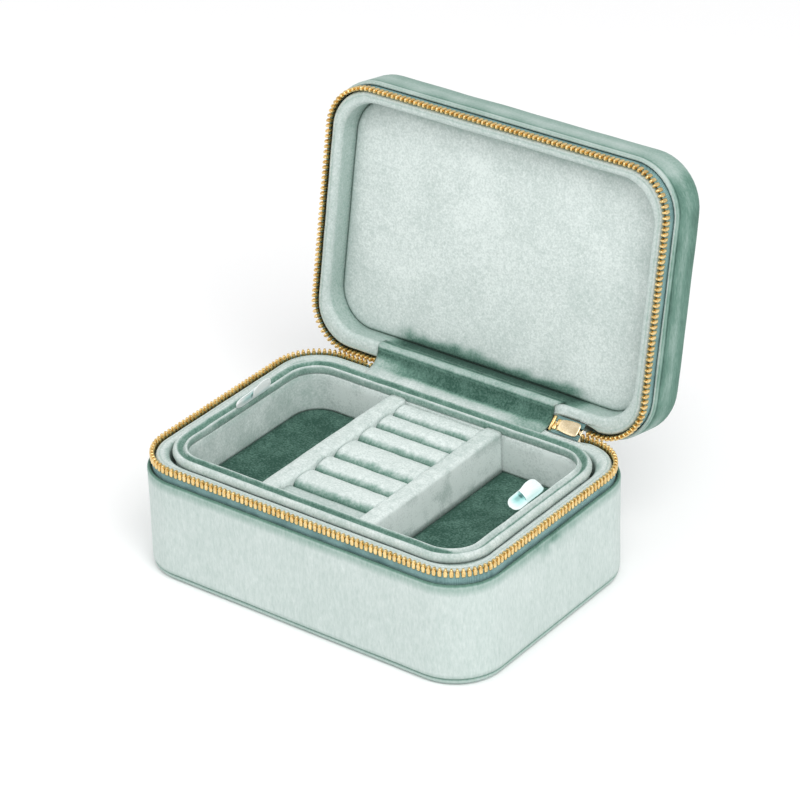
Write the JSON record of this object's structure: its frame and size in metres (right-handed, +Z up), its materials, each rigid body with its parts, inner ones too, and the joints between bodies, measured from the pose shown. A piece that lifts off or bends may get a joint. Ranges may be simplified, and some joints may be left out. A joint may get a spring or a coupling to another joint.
{
  "type": "travel jewelry case",
  "caption": "Velvet-covered zip-around travel jewelry case, shown open, with a lift-out tray holding ring rolls, two side compartments and two ribbon pulls.",
  "frame": {"origin": "centre of the underside of the base, on the resting plane", "axes": "+X along the long side, +Y from the front to the hinge side, +Z up"},
  "size_m": [0.15, 0.1464, 0.1462],
  "materials": {
    "shell_velvet": "short velvet pile, pale sage",
    "lining_velvet": "short velvet pile, sage",
    "floor_velvet": "velvet pile lying away from the light, deep green",
    "board": "pressed board, unseen",
    "foam": "open foam, unseen",
    "zipper_tape": "woven tape, blue-green",
    "brass": "polished pale gold plating",
    "satin": "satin ribbon, pale aqua"
  },
  "bodies": {
    "base": {"bottom_panel": "shell_velvet", "base_cover": "shell_velvet", "base_board": "board", "base_tape": "zipper_tape", "base_teeth": "brass", "base_end_stop": "brass", "base_liner": "lining_velvet", "base_floor_pad": "floor_velvet", "tray_collar": "lining_velvet", "hinge_strip": "lining_velvet", "spine_band": "shell_velvet"},
    "tray": {"tray_board": "board", "tray_rim": "lining_velvet", "tray_lining": "lining_velvet", "tray_pad_left": "floor_velvet", "tray_pad_right": "floor_velvet", "divider_left": "lining_velvet", "divider_right": "lining_velvet", "ring_base": "board", "ring_roll_1": "lining_velvet", "ring_roll_2": "lining_velvet", "ring_roll_3": "lining_velvet", "ring_roll_4": "lining_velvet", "ring_roll_5": "lining_velvet", "ring_roll_6": "lining_velvet", "ring_strip": "lining_velvet"},
    "lid": {"lid_cover": "shell_velvet", "lid_board": "board", "lid_tape": "zipper_tape", "lid_teeth": "brass", "lid_end_stop": "brass", "lid_liner": "lining_velvet", "lid_pad": "lining_velvet", "lid_panel_board": "board", "lid_foam": "foam"},
    "zipper_end": {"zipper_stop": "brass", "zipper_closed_teeth": "brass", "zipper_end_tape_base": "zipper_tape", "zipper_end_tape_lid": "zipper_tape"},
    "slider_body": {"slider": "brass"},
    "pull_body": {"pull_tab": "brass"},
    "ribbon_left_body": {"ribbon_left": "satin"},
    "ribbon_right_body": {"ribbon_right": "satin"}
  },
  "joints": [
    {"name": "lid_hinge", "type": "hinge", "parent": "base", "child": "lid", "pos_m": [0, 0.0514, 0.0452], "axis": [-1, 0, 0], "range_deg": [-100.6, 0], "deforming": ["hinge_strip", "spine_band"]},
    {"name": "zipper_end_hinge", "type": "hinge", "parent": "base", "child": "zipper_end", "pos_m": [0, 0.0514, 0.0452], "axis": [-1, 0, 0], "range_deg": [-50.3, 0]},
    {"name": "tray_lift", "type": "slide", "parent": "base", "child": "tray", "axis": [0, 0, 1], "range_m": [0, 0.06]},
    {"name": "slider_run", "type": "slide", "parent": "zipper_end", "child": "slider_body", "axis": [1, 0, 0], "range_m": [-0.002, 0]},
    {"name": "pull_swing", "type": "hinge", "parent": "slider_body", "child": "pull_body", "pos_m": [0.0451, 0.05287, 0.04421], "axis": [0, 0.7694, 0.6388], "range_deg": [-70, 70]},
    {"name": "ribbon_left", "type": "hinge", "parent": "tray", "child": "ribbon_left_body", "pos_m": [-0.0618, 0.0036, 0.0464], "axis": [0, -1, 0], "range_deg": [-54, 36], "stiffness_Nm_per_rad": 0.0001},
    {"name": "ribbon_right", "type": "hinge", "parent": "tray", "child": "ribbon_right_body", "pos_m": [0.0618, 0.0024, 0.0464], "axis": [0, 1, 0], "range_deg": [-22, 68], "stiffness_Nm_per_rad": 0.0001}
  ],
  "couplings": [
    {"joint": "zipper_end_hinge", "follows": "lid_hinge", "ratio": 0.5}
  ]
}
